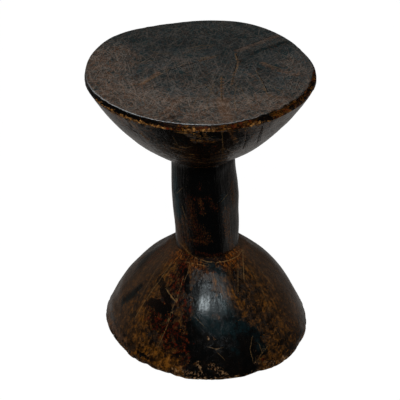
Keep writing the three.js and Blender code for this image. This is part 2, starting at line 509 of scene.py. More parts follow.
# The chips have a height as well.
FOOT_CHIPS = [(-126, 6, -1.6, 9), (-109, 5, -1.8, 11), (-61, 5, -2.6, 9), (-28, 5, -1.2, 7), (38, 5, -1.8, 8)]
FOOT_CHIPS += [(152, 6, -2.2, 10)]
print(len(SEAT_SWELLS + FOOT_SWELLS), "swells and", len(FOOT_CHIPS), "chips of the foot")


def ease(value, start, end):
    """0 before start, 1 after end, and a soft step between them."""
    t = np.clip((value - start) / (end - start), 0, 1)
    return t * t * (3 - 2 * t)


def swell(swells, angle):
    """What a list of (angle, width, amount) adds at each angle, in degrees from +X."""
    total = np.zeros_like(angle)
    for at, wide, amount in swells:
        away = np.mod(angle - at + 180, 360) - 180
        total += amount * np.exp(-((away / wide) ** 2))
    return total


def sideways(height):
    """How far the middle line stands to one side, at heights in millimetres."""
    stations = sorted(MIDDLE_LINE.items())
    shift = np.full_like(height, stations[0][1], dtype=float)
    for (low, here), (high, there) in zip(stations, stations[1:]):
        shift = np.where(height > low, here + (there - here) * ease(height, low, high), shift)
    return shift


def knife_flats(angle, height):
    """The long shallow flats, in millimetres. They run up the stem and round the dome and the bowl."""
    turn = np.radians(angle)
    on_stem = ease(height, 100, 125) * (1 - ease(height, 220, 245))
    on_sides = ease(height, 4, 30) * (1 - on_stem)
    stem_flats = 0.55 * np.cos(5 * turn + 0.6) + 0.4 * np.cos(8 * turn + height / 60)
    side_flats = 0.4 * np.cos(9 * turn + height / 22) + 0.3 * np.cos(14 * turn - height / 31)
    return on_stem * stem_flats + on_sides * side_flats


# %% Carve the blank
corners = points_of(stool.data)
turned_radius = np.hypot(corners[:, 0], corners[:, 1]) / MM
turned_height = corners[:, 2] / MM
angle = np.degrees(np.arctan2(corners[:, 1], corners[:, 0]))
top = HEIGHT / MM
near_seat = ease(turned_height, 235, 320)
near_foot = 1 - ease(turned_height, 2, 85)
off_middle = ease(turned_radius, 20, STEM_FOOT[0] / MM - 3)
below_rim = 1 - ease(turned_height, top - 30, top - RIM_BAND / MM)
carved = turned_radius.copy()
carved += near_seat * turned_radius / (SEAT_RADIUS / MM) * swell(SEAT_SWELLS, angle)
carved += near_foot * turned_radius / (FOOT_RADIUS / MM) * swell(FOOT_SWELLS, angle)
carved += off_middle * below_rim * knife_flats(angle, turned_height)
at_edge = turned_radius > (FOOT_RADIUS - FOOT_RING) / MM
for at, wide, amount, tall in FOOT_CHIPS:
    carved += at_edge * (1 - ease(turned_height, 1, tall)) * swell([(at, wide, amount)], angle)
corners[:, 0] = (carved * np.cos(np.radians(angle)) + sideways(turned_height)) * MM
corners[:, 1] = carved * np.sin(np.radians(angle)) * MM
middle = (corners.min(axis=0) + corners.max(axis=0)) / 2
frame_middle = np.mean(cad_box, axis=0)
corners[:, :2] += frame_middle[:2] - middle[:2]
stool.data.vertices.foreach_set("co", corners.ravel())
for name, values in (("turned_radius", turned_radius), ("turned_height", turned_height)):
    stool.data.attributes.new(name, "FLOAT", "POINT").data.foreach_set("value", values)
stool.data.update()
print("moved the middle by", np.round((frame_middle - middle) / MM, 2)[:2], "mm")


# %% How close the fine piece is to the frame
def search_tree(thing):
    """A tree that finds points and rays on an object's mesh quickly."""
    mesh = thing.data
    return BVHTree.FromPolygons([v.co for v in mesh.vertices], [p.vertices for p in mesh.polygons])


surface = search_tree(stool)
frame_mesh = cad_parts["stool"].data
gaps = [surface.find_nearest(v.co)[3] for v in frame_mesh.vertices]
print("farthest corner of the frame is", round(max(gaps) / MM, 3), "mm from the fine piece")

# %% [markdown]
# ## Finding places on the stool
# Most marks are placed where the photograph shows them: a pixel of the picture is followed from the camera
# until it meets the wood. Marks on the far side are placed by an angle and a height. The stops of a line are
# written as pairs of numbers, and a stroke also has its half width in millimetres and its strength in front.


# %% From a pixel, or an angle and a height, to the wood
def seen(px, py):
    """The spot on the stool that a pixel of the photograph shows, or None beside it."""
    return surface.ray_cast(CAMERA_PLACE, line_of_sight(px, py))[0]


def around(degrees, height):
    """The spot on the stool's side at an angle from +X and a height in millimetres."""
    turn = math.radians(degrees)
    outward = Vector((math.cos(turn), math.sin(turn), 0))
    return surface.ray_cast(outward + Vector((0, 0, height * MM)), -outward)[0]


def read_stops(row):
    """The stops of a line, from their text."""
    return [tuple(float(number) for number in stop.split(",")) for stop in row.split()]


def read_strokes(text):
    """Strokes as (stops, half width, strength), from lines of text such as 6 0.5: 180,252 190,262."""
    found = []
    for row in text.strip().split("\n"):
        numbers, stops = row.split(":")
        wide, strength = (float(number) for number in numbers.split())
        found.append((read_stops(stops), wide, strength))
    return found


STEP = 3  # between two points of a route, in pixels or degrees


def route(stops, place=seen):
    """A line on the wood that passes the stops, in short steps, as an array of points."""
    found = []
    for here, there in zip(stops, stops[1:]):
        steps = max(1, round(math.dist(here, there) / STEP))
        for i in range(steps):
            t = i / steps
            found.append(place(here[0] + (there[0] - here[0]) * t, here[1] + (there[1] - here[1]) * t))
    found.append(place(*stops[-1]))
    return np.array([p for p in found if p is not None])


print("the highlight on the dome is at", [round(c / MM) for c in seen(207, 294)], "mm")

# %% [markdown]
# ## Cracks and where the mesh needs to be finer
# Wood from one block dries faster at its ends, so fine checks run out from the heart of the seat, and a few
# short cracks open on the bowl and the dome. A groove needs more corners than a plain side, so the faces
# under each crack, and those at the chipped rim and foot, are subdivided once before anything is cut.

# %% Where the cracks run
SEAT_CRACKS = """
234,50 246,46 259,41 272,36
236,54 238,58 236,66 234,74 232,84
222,79 222,90 222,100
223,53 206,59 190,64 170,70 155,75
258,74 262,80 267,90
"""
SIDE_CRACKS = """
127,125 134,131 140,133 148,139
262,126 260,133 257,143
248,130 246,138 243,149
234,272 234,293 238,297 245,301 249,312
150,352 146,357 140,355
"""
BACK_CRACKS = """
62,322 58,300 60,284
118,326 121,308
35,92 33,70 37,52
95,104 99,88
141,66 136,38 139,20
100,215 102,180 99,150
"""
seat_stops, side_stops, back_stops = (
    [read_stops(row) for row in text.strip().split("\n")] for text in (SEAT_CRACKS, SIDE_CRACKS, BACK_CRACKS)
)
cracks = [route(stops) for stops in seat_stops + side_stops]
cracks += [route(stops, around) for stops in back_stops]
print(len(cracks), "cracks, together", sum(len(c) for c in cracks), "points")


# %% Subdivide under the cracks and at the edges
def subdivide_where(wanted):
    """Cuts each wanted face once each way."""
    deselect_all()
    bpy.context.view_layer.objects.active = stool
    bpy.ops.object.mode_set(mode="EDIT")
    bpy.ops.mesh.select_mode(type="FACE")
    bpy.ops.mesh.select_all(action="DESELECT")
    bpy.ops.object.mode_set(mode="OBJECT")
    stool.data.polygons.foreach_set("select", wanted)
    bpy.ops.object.mode_set(mode="EDIT")
    bpy.ops.mesh.subdivide(number_cuts=1)
    bpy.ops.mesh.select_mode(type="VERT")
    bpy.ops.object.mode_set(mode="OBJECT")


def nearest_on(line, points):
    """For each point, how far the line is, and the place of the nearest step along it."""
    away = np.full(len(points), np.inf)
    which = np.zeros(len(points), dtype=int)
    for i, stop in enumerate(line):
        gap = np.linalg.norm(points - stop, axis=1)
        which = np.where(gap < away, i, which)
        away = np.minimum(away, gap)
    return away, which


centres = np.empty(len(stool.data.polygons) * 3)
stool.data.polygons.foreach_get("center", centres)
centres = centres.reshape(-1, 3)
wanted = np.zeros(len(centres), dtype=bool)
for crack in cracks:
    wanted |= nearest_on(crack, centres)[0] < 3.2 * MM
heights = turned_height[[p.vertices[0] for p in stool.data.polygons]]
radii = turned_radius[[p.vertices[0] for p in stool.data.polygons]]
at_rim = np.hypot(radii - RIM_ARRIS[0] / MM, heights - RIM_ARRIS[1] / MM) < 3.6
at_foot = (heights > 0.1) & (heights < 7)
wanted |= at_rim | at_foot
subdivide_where(wanted)
print("after subdividing:", len(stool.data.vertices), "corners,", len(stool.data.polygons), "faces")

# %% [markdown]
# ## Relief
# What a finger would feel: soft waves from the adze, small scallops from the knife, fine cuts round the bowl,
# chips along the lower edge of the rim and the foot, and the cracks. All of it is added up as one height for
# each corner and then moved in along the normal, so the pieces of relief can be read one by one.


# %% Read the corners again, with their places on the blank
def attribute_of(name):
    """The values of one of the mesh's own number attributes."""
    values = np.empty(len(stool.data.vertices))
    stool.data.attributes[name].data.foreach_get("value", values)
    return values


corners = points_of(stool.data)
normals = points_of(stool.data, "normal")
turned_radius = attribute_of("turned_radius")
turned_height = attribute_of("turned_height")
spine = sideways(turned_height) + (frame_middle[0] - middle[0]) / MM
spine_y = (frame_middle[1] - middle[1]) / MM
angle = np.degrees(np.arctan2(corners[:, 1] / MM - spine_y, corners[:, 0] / MM - spine))
line = np.array(evenly(outline, 0.1 * MM)) / MM
line_length = np.concatenate([[0], np.cumsum(np.linalg.norm(np.diff(line, axis=0), axis=1))])


def length_at(radii, heights):
    """How far along the outline the nearest point to each radius and height lies, in millimetres."""
    tree = KDTree(len(line))
    for i, (radius, height) in enumerate(line):
        tree.insert((radius, 0, height), i)
    tree.balance()
    return np.array([line_length[tree.find((r, 0, h))[1]] for r, h in zip(radii, heights)])


up_the_side = length_at(turned_radius, turned_height)  # from the middle of the underside
print("the outline is", round(line_length[-1]), "mm long")


def bumps(size, seed, octaves=3, flatten=1.0):
    """Soft noise from about -1 to 1 at each corner, with bumps of a size in millimetres."""
    scale = 1 / (size * MM)
    shift = Vector((seed * 7.3, seed * 3.1, seed * 5.7))
    squash = Vector((scale, scale, scale * flatten))
    return np.array([noise.fractal(Vector(p) * squash + shift, 1.0, 2.0, octaves) for p in corners])


def scallops(size, seed):
    """Shallow overlapping scoops: 0 in the middle of each and 1 on the ridges between them."""
    scale = 1 / (size * MM)
    shift = Vector((seed * 4.1, seed * 8.3, seed * 2.9))
    nearest = [noise.voronoi(Vector(p) * scale + shift)[0] for p in corners]
    return np.array([min(near[0], 1.0) for near in nearest]) ** 2


# %% Where each part of the stool is
is_seat = (turned_height > top - 3.2) & (turned_radius < RIM_ARRIS[0] / MM - 0.3)
is_under = (turned_height < 8) & (turned_radius < ring_inside[0] / MM + 0.5)
is_dome = ~is_under & (turned_height <= STEM_FOOT[1] / MM)
is_stem = (turned_height > STEM_FOOT[1] / MM) & (turned_height < STEM_HEAD[1] / MM)
is_band = (turned_height > RIM_ARRIS[1] / MM + 0.1) & ~is_seat
is_bowl = (turned_height >= STEM_HEAD[1] / MM) & ~is_seat & ~is_band
arris_length, ring_length = length_at(*np.array([RIM_ARRIS, STEM_FOOT]).T / MM)
above_arris = up_the_side - arris_length
off_arris = np.hypot(turned_radius - RIM_ARRIS[0] / MM, turned_height - RIM_ARRIS[1] / MM)
on_arris = np.exp(-((off_arris / 1.9) ** 2))
on_foot_edge = np.exp(-((np.clip(turned_height - 0.6, 0, None) / 3.4) ** 2)) * ~is_under * ~is_seat
print("corners on the seat:", is_seat.sum(), " on the dome:", is_dome.sum())

# %% Waves, scallops and tool marks
relief = np.zeros(len(corners))
off_ring = ease(turned_height, 0.3, 3)  # nothing moves the ring that the stool stands on
is_side = is_dome | is_bowl | is_stem
relief += (0.16 * is_dome + 0.35 * is_bowl) * bumps(34, 1, 2) * off_ring
from_ring = ring_length - up_the_side
at_front = 1 - ease(np.abs(angle + 90), 40, 80)
brow = 1.1 * (1 - ease(from_ring, 40, 95)) - 2.5 * np.clip(1 - from_ring / 45, 0, 1) ** 3
relief += brow * is_dome * at_front
relief += 0.25 * bumps(22, 2, 2) * is_stem
# Swells of the outline: angle from +X, half its width, height, half its width, and how far out.
OUTLINE_SWELLS = [
    (90, 72, 332, 16, 1.9),
    (-8, 24, 305, 24, 2.0),
    (180, 30, 248, 14, 2.6),
    (0, 26, 246, 10, 2.8),
    (180, 34, 42, 12, 2.2),
    (0, 34, 40, 18, 1.1),
    (-17, 15, 8, 16, 2.2),
    (-133, 12, 6, 12, 3.0),
    (-104, 8, 3, 8, 2.0),
    (184, 24, 21, 8, 1.5),
    (180, 30, 78, 14, -0.9),
    (182, 24, 278, 14, 1.2),
]
facing_out = np.hypot(normals[:, 0], normals[:, 1])
for at, wide, height, tall, out in OUTLINE_SWELLS:
    turned = (angle - at + 180) % 360 - 180
    relief += out * np.exp(-((turned / wide) ** 2) - ((turned_height - height) / tall) ** 2) * facing_out**2
scoop_depth = 0.1 + 0.12 * is_stem + 0.1 * is_bowl
relief += scoop_depth * (scallops(11, 1) - 0.3) * is_side * off_ring
relief += 0.07 * bumps(5, 3, 3) * is_side * off_ring
relief += 0.14 * bumps(7, 4, 3, flatten=3.0) * is_bowl
relief += 0.22 * bumps(26, 5, 2) * is_seat + 0.05 * bumps(4, 6, 3) * is_seat
at_ring = np.exp(-(((turned_height - 108.5) / 2.2) ** 2)) * is_dome
relief += 0.8 * np.clip(0.5 + bumps(9, 7, 3), 0, 1.2) * at_ring
relief += 0.8 * (scallops(16, 2) - 0.3) * is_under * (turned_height > 1)
print("relief so far, in mm:", round(relief.min(), 2), "to", round(relief.max(), 2))

# %% Chips along the rim and the foot
# Angle from +X, how wide the stretch is, and how badly it is chipped.
RIM_WEAR = [(-149, 4, 0.55), (-141, 5, 0.75), (-133, 4, 0.6), (-125, 5, 0.9), (-117, 5, 0.9), (-108, 4, 0.5)]
RIM_WEAR += [(-92, 6, 1.0), (-79, 4, 0.5), (-64, 6, 0.85), (-21, 2, 0.7), (25, 12, 0.4), (70, 16, 0.6)]
RIM_WEAR += [(112, 10, 0.4), (160, 12, 0.5)]
rim_wear = np.clip(0.1 + swell(RIM_WEAR, angle), 0, 1)
rim_bites = np.clip(bumps(5.5, 11, 3) + 0.35, 0, 1.1)
relief -= 1.7 * rim_wear * rim_bites * on_arris
relief -= 0.9 * np.clip(bumps(16, 12, 2) - 0.1, 0, 1) * on_arris
foot_bites = np.clip(bumps(9, 13, 4) + 0.05, 0, 1)
relief -= 1.3 * foot_bites * on_foot_edge
print("deepest bite", round(-relief.min(), 2), "mm")

# %% Wear down the front right of the seat's edge
# Angle from +X, how wide the stretch is, and how far in the edge is worn, in millimetres.
EDGE_WEAR = [(-64, 16, 3.0), (-36, 22, 5.2), (-10, 12, 2.5), (20, 14, 2.0), (118, 16, 2.0)]
WORN_SLOPE = 0.42
edge_wear = swell(EDGE_WEAR, angle) * (1 + 0.5 * bumps(9, 15, 2))
bevel = np.clip(above_arris - 3.2, 0, 1) * np.clip(5.6 + edge_wear - above_arris, 0, None)
relief -= WORN_SLOPE * bevel * (edge_wear > 0.3)
print("the edge is worn in by up to", round(edge_wear.max(), 1), "mm")

# %% The groove under the lip, at the front left
LIP_GROOVE = [(-150, 16, 0.8), (-130, 16, 1.0), (-108, 12, 0.7), (-20, 12, 0.5)]
lip_groove = np.clip(swell(LIP_GROOVE, angle), 0, 1)
in_groove = lip_groove * np.exp(-(((above_arris - 4.2) / 1.5) ** 2))
relief -= 0.7 * in_groove * (1 + 0.5 * bumps(7, 17, 2))
print("the groove runs past", int((in_groove > 0.5).sum()), "corners")

# %% Cut the cracks
for i, crack in enumerate(cracks):
    away, which = nearest_on(crack, corners)
    share = which / max(1, len(crack) - 1)
    taper = np.sin(np.pi * np.clip(share * 0.94 + 0.03, 0, 1)) ** 0.5
    depth = 0.35 if i < len(seat_stops) else 0.8
    relief -= depth * taper * np.exp(-((away / (0.8 * MM)) ** 2))
print("relief with the cracks, in mm:", round(relief.min(), 2), "to", round(relief.max(), 2))

# %% Move the corners
relief = np.where(turned_height > 0.2, relief, 0)  # the ring that the stool stands on stays flat
corners += normals * (relief * MM)[:, None]
corners[:, 2] = np.clip(corners[:, 2], 0, HEIGHT)
stool.data.vertices.foreach_set("co", corners.ravel())
stool.data.update()
surface = search_tree(stool)
print("relief from", round(relief.min(), 2), "to", round(relief.max(), 2), "mm")

# %% [markdown]
# ## Marks
# The patina is a map of use. Where hands and feet rub, the black is worn through to warm brown, and in places
# to dark red. Where oil and soot gather it is black with a blue gloss. Each tone is a field from 0 to 1, laid
# on in strokes as with a soft brush, and the materials give its edges their ragged look.

# %% Brushes
TONES = ("worn", "rust", "soot", "blue", "streak", "haze_and_sheen", "raw", "dust_and_sheen", "dull")
tones = {name: np.zeros(len(corners)) for name in TONES}


def brush(tone, strokes, place=seen):
    """Lays strokes on a tone. Each is its stops, then its half width in millimetres and its strength."""
    for stops, wide, strength in strokes:
        away = nearest_on(route(stops, place), corners)[0] / MM
        laid = strength * (1 - ease(away, wide * 0.35, wide * 1.35))
        tones[tone] = np.maximum(tones[tone], laid)


def paint(marks):
    """Lays the strokes of several tones."""
    for tone, text in marks.items():
        brush(tone, read_strokes(text))
        print(f"{tone} now lies on {(tones[tone] > 0.5).mean():.1%} of the corners")


# %% Marks on the dome
DOME_MARKS = {
    "worn": """
6 1: 180,252 190,262 205,267 222,265 238,256
4 1: 186,256 195,262
5 1: 228,257 238,252 244,246
14 0.72: 174,262 158,286 142,316 138,332
15 0.6: 130,300 126,322 150,350
11 0.48: 112,296 116,322
19 0.57: 246,262 262,282 276,306
26 0.52: 268,300 284,330 272,352
12 0.55: 296,308 292,336
7 0.85: 228,290 242,305
9 0.5: 216,262 226,280 222,296
4 0.7: 214,280 217,300
5 0.8: 204,268 214,273
13 1: 142,350 166,362 184,366
6 0.5: 158,336 172,352
4 0.5: 176,300 182,326
4 0.6: 188,262 190,276
6 0.62: 206,364 214,372 224,366
7 0.7: 262,362 282,352
""",
    "rust": """
22 0.66: 156,312 172,338 184,352
12 0.85: 172,330 188,346
7 0.9: 182,264 184,286
9 0.6: 172,276 178,300
6 0.7: 188,300 186,322
5 0.8: 184,252 188,262
4 0.5: 250,350 262,360
10 0.45: 284,312 292,330
6 0.6: 182,362 194,368
3 0.8: 196,252 212,256 226,253
3 0.8: 180,246 190,258
""",
    "soot": """
14 0.95: 202,290 206,320
12 0.8: 214,300 232,326
20 1: 200,330 238,334
24 1: 204,350 242,352
11 1: 192,372 250,370
9 0.9: 196,336 196,356
8 0.95: 252,332 262,350
7 1: 152,302 164,310
6 0.9: 160,280 168,300
6 0.6: 168,306 170,312
4.5 1: 122,302 132,295 140,287
10 0.82: 142,264 156,248
6 0.6: 132,276 142,262
4 0.8: 186,270 188,292
5 0.45: 234,272 240,290
2.5 1: 138,352 148,358
5 0.75: 210,266 222,272
4 0.6: 276,346 290,334
""",
    "blue": """
11 1: 200,318 216,328 244,326
10 0.7: 224,300 234,318
6 1: 122,302 132,295 140,287
10 0.8: 140,264 156,246
6 0.9: 210,266 222,274
8 0.6: 256,330 262,346
7 0.5: 232,340 236,352
""",
    "raw": """
3 0.55: 173,368 178,372
3 0.45: 182,371 198,374
4 0.36: 198,364 203,373
5 0.36: 211,366 217,369 223,375
3 0.45: 224,372 228,377
1.5 0.9: 208,337 209,339
1.3 0.9: 213,337 214,339
2.5 0.45: 256,363 274,362
2 0.9: 283,357 284,359
2 0.5: 189,258 194,260
2 0.5: 233,254 239,251
1.4 0.46: 182,160.5 204,163.5 224,161.5 237,157.5
""",
    # On the dome the haze is a painted sheen along both outlines and at the upper left, with some dust.
    "haze_and_sheen": """
9 0.4: 109,300 112,322
11 0.6: 140,262 156,246
8 0.7: 300,300 302,325
""",
    "dull": """
9 1: 192,262 222,264
6 0.7: 214,268 226,284
""",
    "streak": """
8 0.7: 108,300 109,320 124,342
8 0.5: 120,296 118,318
""",
}
paint(DOME_MARKS)

# %% Marks on the stem and the bowl
HIGH_MARKS = {
    "soot": """
34 0.85: 205,168 205,200 212,245
10 0.9: 180,170 184,215
12 0.95: 222,170 222,240
20 1: 168,134 184,146 206,152 236,142
8 1: 176,152 206,156 230,150
8 1: 168,130 178,140
9 1: 205,134 234,136
3 0.7: 130,124 140,130
4 0.7: 238,132 244,140
""",
    "rust": """
9 0.6: 190,200 192,222 200,236
6 0.5: 200,200 202,212
5 0.5: 208,198 216,210
8 0.55: 180,234 194,242 206,240
3 0.5: 199,184 200,190
6 0.36: 196,140 214,146
5 0.4: 180,144 192,148
4 0.4: 208,152 216,158
1.2 0.9: 188,164.5 225,165.5
6 0.5: 120,118 132,132
3 0.6: 262,122 257,140
""",
    "worn": """
9 0.47: 190,204 193,226
12 0.44: 190,222 206,238
7 0.52: 184,218 186,236
4 0.55: 200,200 203,214
1.6 1: 211,199 212,206
1.2 0.9: 217,205 218,211
9 0.8: 177,224 180,240 186,252
3 0.8: 188,239 206,243
8 0.54: 226,210 228,232 232,246
5 0.5: 232,180 234,206
4 0.7: 174,206 176,216
2.4 0.9: 176,132 186,133
3 0.7: 190,132 199,136
3 0.7: 204,134 207,138
2.6 0.85: 192,140 212,142
1.6 0.8: 182,147 190,149
1.6 0.7: 212,154 219,152
4 0.75: 230,132 236,142
1.4 1: 222,133 223,160
3 0.8: 172,148 184,150
2 1: 186,154 197,155
2.4 1: 180,160.5 206,163.5 236,158
2.4 0.9: 221,150 226,157
5 0.6: 130,122 146,138
5 0.6: 112,112 126,124
2 0.8: 246,128 245,146
2 0.7: 261,122 258,140
3 0.55: 232,150 242,152
""",
    # The first two strokes lie on the stem's left and right edges: teal patina, partly a painted tint of
    # their reflection.
    "blue": """
7 0.9: 173,166 175,190 177,214
5 0.3: 224,196 226,216
4 0.6: 208,136 216,138
4 0.6: 180,140 188,146
""",
}
paint(HIGH_MARKS)

# %% Marks on the seat
SEAT_MARKS = {
    "streak": """
6.5 0.62: 236,51 254,45 276,36
2.4 1: 236,54 238,62 235,72 232,84
3.4 1: 222,79 222,100
9 1: 222,100 224,110 228,118
3 0.8: 214,57 200,61
3 0.5: 192,62 176,68
4.5 0.95: 158,73 142,84
4 0.5: 142,84 126,92
6 0.7: 263,63 276,70 300,75
1.8 0.7: 258,73 268,91
3 0.6: 184,53 200,49 214,46
5 0.45: 165,54 178,58
8 0.6: 182,98 164,114
4 0.7: 250,74 256,80
5 0.6: 268,94 278,99
12 0.4: 292,58 303,78 296,94
7 0.5: 104,90 128,106
4 0.5: 150,118 176,124
4 0.5: 196,122 240,122
8 0.55: 118,48 142,58
6 0.5: 94,66 104,76
""",
    "soot": """
4 0.7: 256,52 268,48 285,42
7 0.16: 130,62 146,60
12 0.15: 198,82 214,92
8 0.4: 240,62 256,70
3 0.4: 214,76 217,94
""",
    "blue": """
6 1: 250,54 268,48 290,41
9 0.6: 130,62 150,58
10 0.5: 150,86 170,78
26 0.6: 196,76 230,84
26 0.5: 150,44 240,36
""",
    # The seat's haze is partly dust and partly painted light: it makes the front and the left paler than the
    # back.
    "haze_and_sheen": """
400 0.08: 80,70 300,70
40 0.36: 140,64 240,80
42 0.86: 106,58 104,80 140,98
38 0.98: 100,84 150,106 220,114 270,106
22 0.5: 294,62 300,84 282,98
30 0.4: 180,92 260,92
30 0.08: 110,48 180,58
""",
}
paint(SEAT_MARKS)

# %% Marks all round
BEHIND = (8, 172)  # the angles that the photograph doesn't show

# Dust lies on both flanks of the dome, where nothing rubs, and with it a painted sheen that lightens both
# outlines.
FLANK_DUST_AND_SHEEN = [(-178, 28, 1.0), (0, 26, 1.1)]
tones["dust_and_sheen"] = np.clip(swell(FLANK_DUST_AND_SHEEN, angle), 0, 1) * is_dome * ease(turned_height, 8, 24)

dice = random.Random(11)
for _ in range(26):
    start = dice.uniform(*BEHIND)
    height = dice.uniform(12, 96)
    stops = [(start, height), (start + dice.uniform(-9, 9), height - dice.uniform(4, 26))]
    tone = dice.choice(["worn", "worn", "rust", "soot"])
    brush(tone, [(stops, dice.uniform(5, 17), dice.uniform(0.55, 0.95))], around)
for _ in range(12):
    start = dice.uniform(*BEHIND)
    height = dice.uniform(250, 322)
    stops = [(start, height), (start + dice.uniform(-14, 14), height + dice.uniform(-6, 6))]
    brush("soot", [(stops, dice.uniform(8, 16), dice.uniform(0.6, 1.0))], around)
    stops = [(start + 20, height), (start + 30, height + dice.uniform(-5, 5))]
    brush("worn", [(stops, dice.uniform(2, 6), dice.uniform(0.4, 0.8))], around)
brush("soot", [([(a, 116), (a + 4, 228)], 16, 0.9) for a in range(0, 181, 30)], around)
# The corners under and over the stem are rubbed on every side.
for part, height, tall, strength in ((is_dome, 109, 3.2, 0.85), (is_bowl, 238, 2.4, 0.9)):
    rubbed = strength * np.exp(-(((turned_height - height) / tall) ** 2)) * part
    tones["worn"] = np.maximum(tones["worn"], rubbed)
print(f"with the back, worn lies on {(tones['worn'] > 0.5).mean():.1%} of the corners")

# %% The worn band round the rim, with a painted highlight and painted shade at its lip
# Angle from +X, how wide the stretch is, and how much of the tone it has.
BAND_WORN = [(-112, 14, 0.7), (-88, 14, 0.95), (-64, 14, 1.0), (-38, 14, 0.6), (-12, 14, 0.6), (60, 40, 0.7)]
# The band's soot is partly painted shade: at the left and the front left, near -170 and -150 degrees, it
# blackens the band under the overhanging lip.
BAND_SOOT_AND_SHADE = [(-150, 12, 0.6), (-170, 12, 0.6), (-58, 4, 0.85), (-36, 12, 0.3), (-16, 12, 0.4)]
BAND_SOOT_AND_SHADE += [(120, 20, 0.6), (20, 14, 0.5)]
# Where the rubbed edge of the lip gets a painted highlight line and is made less rough.
EDGE_POLISH_AND_HIGHLIGHT = [(-152, 18, 0.6), (-124, 16, 0.9), (-97, 14, 1.0), (-70, 9, 0.4), (40, 30, 0.2)]
# Where a painted shade line runs under the lip.
EDGE_SHADE = [(-130, 40, 0.5), (-85, 30, 1.0), (-40, 24, 0.6)]
# The lip overhangs a groove, and the painted shade under it raises the top of the band and its shade line
# most at the front left, here in millimetres.
LIP_SHADE = [(-140, 16, 1.6), (-116, 20, 2.4), (-94, 10, 1.6), (-78, 8, 0.6)]
BAND_WIDE = 5.2  # millimetres along the side, before wear and shade widen it

band_top = BAND_WIDE + edge_wear + swell(LIP_SHADE, angle)
on_band = (above_arris > -0.6) * (1 - ease(above_arris, band_top - 0.8, band_top + 0.8))
for tone, swells, least in (("worn", BAND_WORN, 0.2), ("soot", BAND_SOOT_AND_SHADE, 0.1)):
    laid = np.clip(least + swell(swells, angle), 0, 1)
    tones[tone] = tones[tone] * (1 - on_band) + laid * on_band
tones["rust"] = np.maximum(tones["rust"], 0.55 * on_band)
tones["haze_and_sheen"] *= 1 - on_band
tones["dust_and_sheen"] *= 1 - 0.7 * tones["blue"]
# Painted shade: black laid in the groove under the overhanging lip.
tones["soot"] = np.maximum(tones["soot"], lip_groove * ease(above_arris, 1.6, 2.6) * on_band)
polish_and_highlight, shade = (np.clip(swell(swells, angle), 0, 1) for swells in (EDGE_POLISH_AND_HIGHLIGHT, EDGE_SHADE))
on_lip = above_arris > 2
# The rim field keeps the distance to the band's top, and the strengths of the painted highlight and the
# painted shade at the lip.
rim_highlight_and_shade = np.stack([above_arris - band_top, polish_and_highlight * on_lip, shade * on_lip], axis=1)
beads = np.exp(-(((above_arris - 1.5) / 2.1) ** 2)) * (0.1 + 0.7 * rim_wear)
tones["raw"] = np.max([tones["raw"], beads, 0.5 * on_foot_edge], axis=0)
print({name: round(float(values.mean()), 3) for name, values in tones.items()})

# %% [markdown]
# ## Scratches
# A scratch is thinner than a face of the mesh, so it can't be a row of painted corners. Instead each corner
# near a scratch stores how far to its left or right the scratch runs. That distance changes evenly across a
# face, so the material can draw a hair-fine line where it passes zero, at any size of face.

# %% Scratches by half width in millimetres, strength and stops
TAN_SCRATCHES = """
0.45 0.7: 202,260 208,262 212,262
0.5 0.8: 217,262.5 224,261.5 230,260
0.4 0.7: 186,262 196,264 206,266
0.5 0.8: 230,260 238,256 243,249
0.5 0.8: 180,243 188,252 196,258
1 0.45: 235,54 237.4,60 237.4,67 233.6,74.5 231.7,84.5
0.8 0.5: 221.4,77 221.8,90 221.4,101
0.8 0.5: 168.6,70 157,75.7 143,83
0.8 0.25: 143,83 124,87
0.7 0.4: 200,60 216,56
0.6 0.3: 186,63 176,67
0.5 0.5: 256.4,71.5 261,80 267,93
0.9 0.4: 263.6,63 272,66 280,68.6
0.5 0.35: 236,88 234,98 236,110
0.5 0.35: 214,84 208,98 206,112
0.5 0.35: 268,84 282,92
0.35 0.6: 183,278 177,302 171,316 165,331 159,345
0.35 0.5: 190,262 188,272 183,284
0.3 0.45: 181,286 174,305 167,322
0.5 0.6: 167,270 154,288 143,304 135,318
0.5 0.6: 172,262 160,280 148,296
0.45 0.45: 158,266 150,280 140,298
0.6 0.85: 167,290 171,296 176,302
0.6 0.75: 243,250 243,262 244,278
0.4 0.5: 238,262 238,292
0.5 0.5: 262,272 268,280 276,290
0.5 0.4: 250,268 262,290 270,312
0.4 0.45: 252,338 250,350 253,360
0.4 0.4: 259,344 262,352 258,360
0.4 0.5: 268,346 262,354
0.35 0.6: 209,347 216,349 220,348
0.35 0.35: 217,352 224,359
0.35 0.4: 196,318 204,326
0.5 0.55: 222,133 223,145 222,160
0.45 0.6: 186,135 200,138 211,137
0.45 0.7: 170,147 176,149 182,147
0.45 0.7: 172,151.5 180,150.5 186,153
0.45 0.7: 178,155 184,158 190,156.5
0.8 0.95: 183,160 192,161 204,163 214,162 226,160 236,157
0.6 0.9: 186,164 200,166 216,165
0.5 0.9: 168,150 174,154 182,156
0.5 0.8: 174,144 184,148 190,147
0.5 0.9: 180,157 192,158 200,160
0.5 0.8: 224,148 232,152 240,150
0.5 0.9: 206,160 218,158 230,156
0.45 0.7: 214,158.5 226,156 234,152
0.4 0.6: 173,137 177,144
0.35 0.5: 177,193 181,189
0.4 0.5: 182,206 185,216
0.4 0.5: 227,195 222,201
0.5 0.6: 200,58 208,57 215,56
0.5 0.55: 190,48 200,46 212,45
0.4 0.4: 150,50 158,54 170,53
0.4 0.4: 131,66 142,62 155,60
0.35 0.45: 205,84 212,92 216,96
0.35 0.4: 192,108 196,100 199,94
0.35 0.4: 240,86 247,100 252,108
0.4 0.45: 262,88 270,96 276,98
"""
